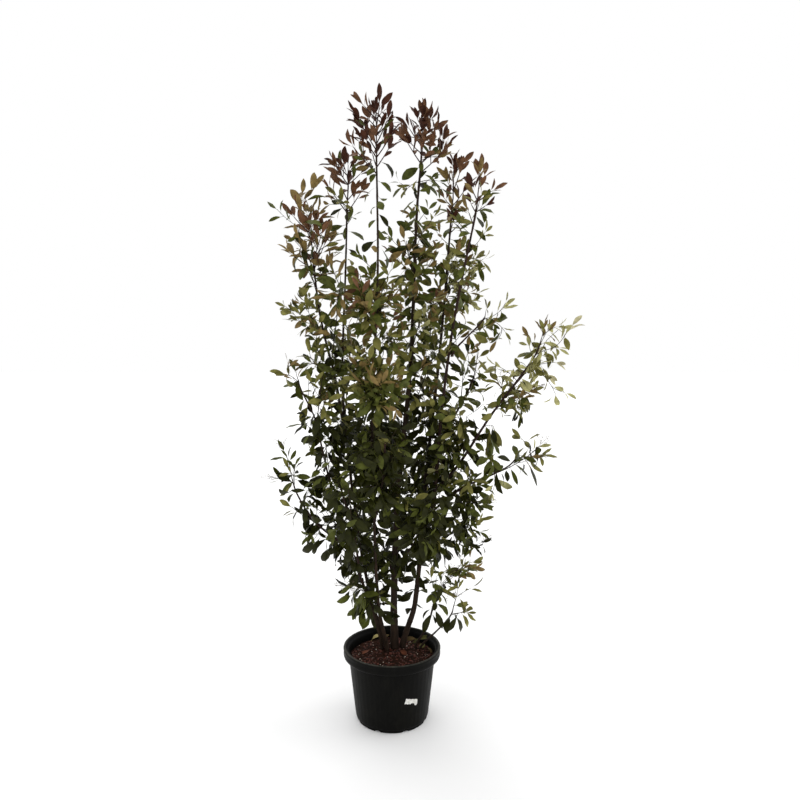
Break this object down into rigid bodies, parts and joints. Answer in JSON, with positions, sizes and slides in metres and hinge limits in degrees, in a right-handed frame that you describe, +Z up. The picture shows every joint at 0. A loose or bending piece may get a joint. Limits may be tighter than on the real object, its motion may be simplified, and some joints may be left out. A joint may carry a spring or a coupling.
{
  "type": "potted photinia shrub",
  "caption": "Tall multi-stem photinia red robin shrub with red young leaves on top, standing in its round black nursery pot.",
  "frame": {"origin": "middle of the pot's flat underside, on the pot's axis", "axes": "+Z up along the pot's axis, +X to the right of the front view, where the long bough reaches out, +Y to the back"},
  "size_m": [1.2121, 0.7292, 2.5191],
  "materials": {
    "pot_plastic": "satin",
    "soil": "matte",
    "bark": "matte",
    "young_leaves": "satin",
    "bronze_leaves": "satin",
    "green_leaves": "satin"
  },
  "bodies": {
    "root": {"pot": "pot_plastic", "root_ball": "soil", "stem_centre": "bark", "stem_right": "bark", "stem_front": "bark", "stem_left": "bark", "shoot_left": "bark", "shoot_back": "bark", "shoot_right": "bark", "shoot_low_right": "bark", "bough_far_left": "bark", "bough_far_right": "bark", "bough_low_left": "bark", "bough_long_right": "bark", "bough_right": "bark", "bough_twig_right": "bark", "bough_side_right": "bark", "bough_front": "bark", "bough_front_right": "bark", "bough_front_left": "bark", "bough_back_right": "bark", "bough_back_left": "bark", "spray_left": "bronze_leaves", "spray_centre_left": "young_leaves", "spray_centre": "young_leaves", "spray_centre_right": "young_leaves", "spray_right": "young_leaves", "spray_far_right": "young_leaves", "upper_left": "bronze_leaves", "upper_centre": "bronze_leaves", "upper_centre_right": "bronze_leaves", "upper_right": "bronze_leaves", "mid_left_tip": "bronze_leaves", "mid_left": "bronze_leaves", "mid_back_left": "bronze_leaves", "mid_front": "bronze_leaves", "mid_right": "bronze_leaves", "mid_far_right": "bronze_leaves", "mid_back_right": "green_leaves", "twig_right": "bronze_leaves", "centre_left": "green_leaves", "centre_back": "green_leaves", "centre_front": "green_leaves", "centre_right": "green_leaves", "left_tip": "green_leaves", "back_right": "green_leaves", "back_left": "green_leaves", "front_left": "green_leaves", "front_right": "green_leaves", "low_left": "green_leaves", "low_centre_left": "green_leaves", "low_centre_right": "green_leaves", "low_right": "green_leaves", "skirt_left": "green_leaves", "skirt_right": "green_leaves", "skirt_low_right": "green_leaves", "bough_tip_right": "bronze_leaves", "bough_mid_right": "green_leaves", "side_right": "green_leaves", "side_tip_right": "green_leaves"}
  },
  "joints": []
}
